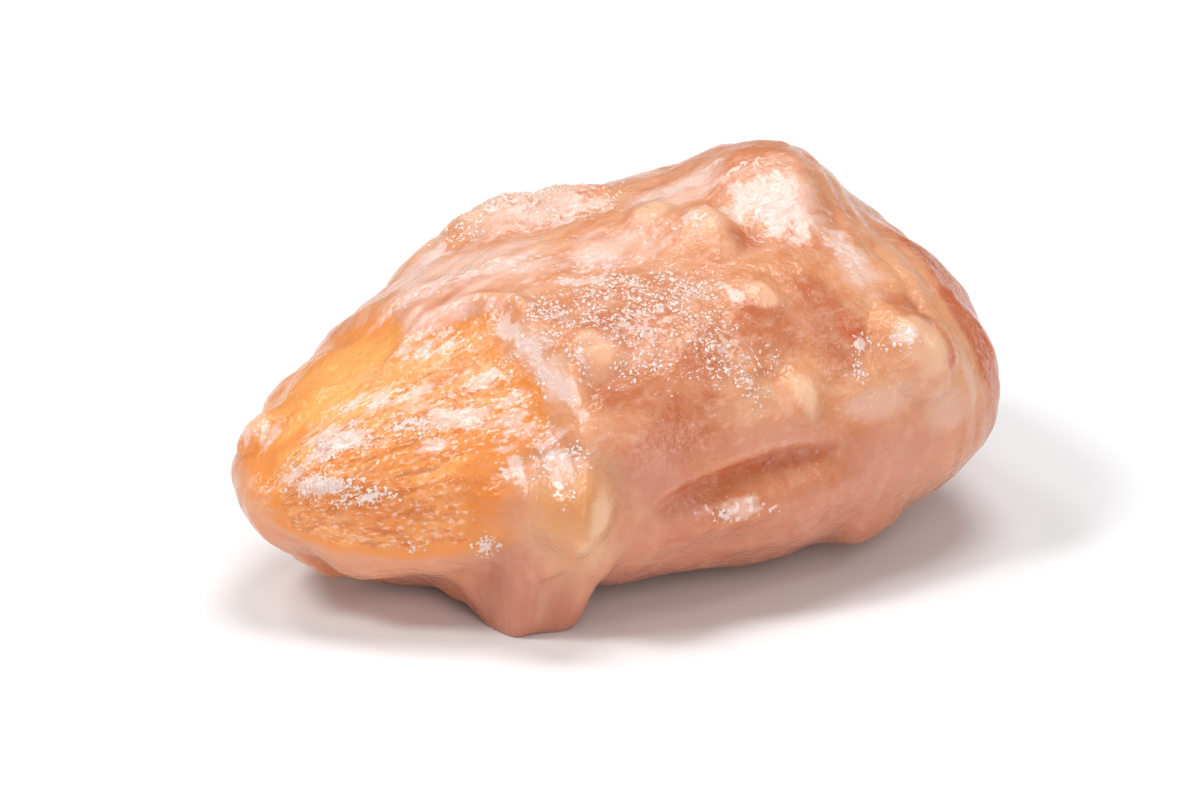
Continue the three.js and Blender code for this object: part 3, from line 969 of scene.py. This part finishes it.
def white_table():
    """A smooth white table: matt, so that it shows soft shadows and no mirror image."""
    made, tree = new_material("white_table")
    inputs = {"Base Color": linear(TABLE_COLOUR), "Roughness": TABLE_ROUGHNESS}
    shader = add(tree, "ShaderNodeBsdfPrincipled", inputs)
    add(tree, "ShaderNodeOutputMaterial", {"Surface": shader.outputs["BSDF"]})
    return made


# Stage: floor, light and camera, in metres

TABLE_HALF = 1.5
WORLD_STRENGTH = 0.2
VIEW_AZIMUTH, VIEW_ELEVATION = -32, 23
VIEW_DISTANCE = 0.45
VIEW_TARGET = Vector((0, 0, 0.0052))
PICTURE_WIDTH = 0.0415  # across the frame at the almond
SENSOR = 36  # width of the camera's sensor in millimetres

# Lamps: name, azimuth from the camera's, elevation, distance, width and power in watts
LAMPS = [
    ("key", -72, 52, 0.6, 0.16, 1.35),
    ("back", -125, 58, 0.6, 0.14, 0.5),
    ("top", 150, 78, 0.6, 0.3, 1.6),
    ("right", 90, 42, 0.6, 0.14, 0.3),
    ("front", 24, 21, 0.6, 0.08, 0.15),
    ("fill", 15, 26, 0.7, 0.6, 1.4),
]
LAMP_AIM = (0, 0, 0.005)


def look_at(thing, place, target):
    """Puts a lamp or camera at a place and turns it to a target, with its top up."""
    thing.location = place
    thing.rotation_euler = (Vector(target) - Vector(place)).to_track_quat("-Z", "Y").to_euler()


def view_way(azimuth, elevation):
    """The unit vector from the almond to a viewer, from an azimuth from -Y towards +X and an elevation."""
    a, e = math.radians(azimuth), math.radians(elevation)
    return Vector((math.sin(a) * math.cos(e), -math.cos(a) * math.cos(e), math.sin(e)))


def softbox(name, azimuth, elevation, distance, size, power):
    """A round lamp that faces the almond."""
    lamp = bpy.data.lights.new(name, "AREA")
    lamp.shape = "DISK"
    lamp.size = size
    lamp.energy = power
    thing = bpy.data.objects.new(name, lamp)
    bpy.context.collection.objects.link(thing)
    look_at(thing, view_way(azimuth, elevation) * distance, LAMP_AIM)


def set_stage():
    """The white table, an even sky, the lamps and the camera."""
    corners = [(-1, -1), (1, -1), (1, 1), (-1, 1)]
    mesh = bpy.data.meshes.new("table")
    mesh.from_pydata([(TABLE_HALF * x, TABLE_HALF * y, 0) for x, y in corners], [], [(0, 1, 2, 3)])
    floor = bpy.data.objects.new("table", mesh)
    floor.data.materials.append(white_table())
    bpy.context.collection.objects.link(floor)

    world = bpy.data.worlds.new("studio")
    bpy.context.scene.world = world
    world.use_nodes = True
    sky = world.node_tree.nodes["Background"]
    sky.inputs["Color"].default_value = (1, 1, 1, 1)
    sky.inputs["Strength"].default_value = WORLD_STRENGTH

    for name, azimuth, elevation, distance, size, power in LAMPS:
        softbox(name, VIEW_AZIMUTH + azimuth, elevation, distance, size, power)

    lens = bpy.data.cameras.new("camera")
    lens.sensor_width = SENSOR
    lens.lens = SENSOR * VIEW_DISTANCE / PICTURE_WIDTH
    camera = bpy.data.objects.new("camera", lens)
    bpy.context.collection.objects.link(camera)
    place = VIEW_TARGET + view_way(VIEW_AZIMUTH, VIEW_ELEVATION) * VIEW_DISTANCE
    look_at(camera, place, VIEW_TARGET)
    bpy.context.scene.camera = camera
    bpy.context.scene.view_settings.view_transform = "Standard"


def build():
    """The almond's two pieces in the frame, and the stage."""
    shift = centre_shift()
    coat = toffee_coat(shift)
    coat.data.materials.append(set_toffee())
    grains = sugar_grains(shift)
    grains.data.materials.append(sugar_crystal())
    for piece in (coat, grains):
        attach(piece, "root")
        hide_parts(NODE)
    set_stage()


build()
